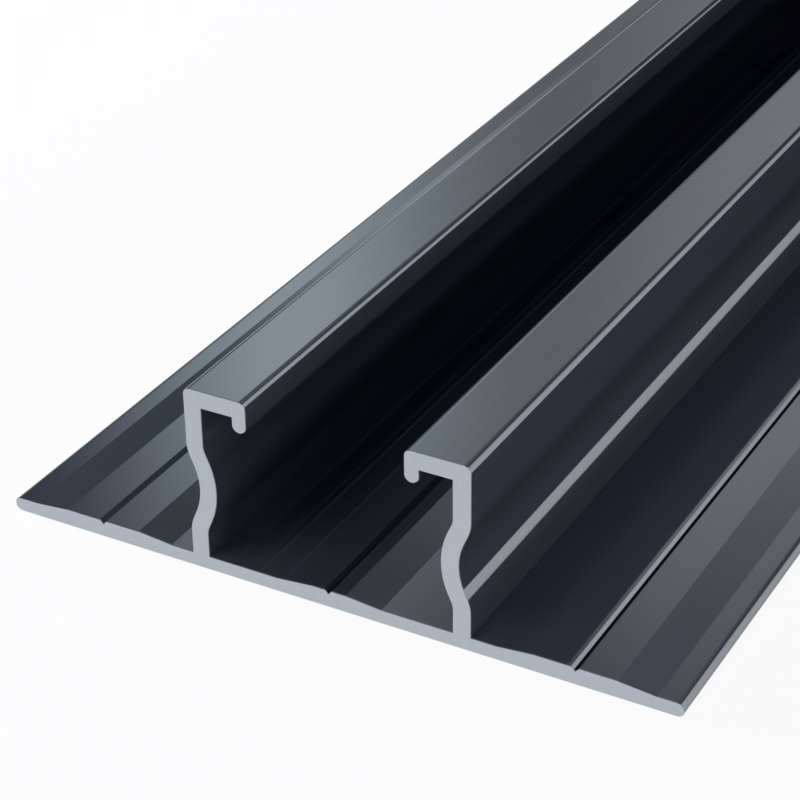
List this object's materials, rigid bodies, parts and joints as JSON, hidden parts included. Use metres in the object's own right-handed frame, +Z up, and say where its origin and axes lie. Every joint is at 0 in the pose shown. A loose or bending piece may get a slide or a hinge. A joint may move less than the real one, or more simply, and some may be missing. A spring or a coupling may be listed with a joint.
{
  "type": "solar mounting rail",
  "caption": "Length of extruded aluminium rail for mounting solar panels: a wide flat base plate with screw grooves and an open channel with inward hooks.",
  "frame": {"origin": "on the flat underside, at the middle of the rail's width and of its length", "axes": "+Y along the rail, +X across it, +Z up out of the channel's mouth"},
  "size_m": [0.1, 0.4, 0.0275],
  "materials": {
    "anodised_aluminium": "black anodised satin faces with fine lines along the extrusion, bare metal at the sawn ends"
  },
  "bodies": {
    "root": {"mounting_rail": "anodised_aluminium"}
  },
  "joints": []
}
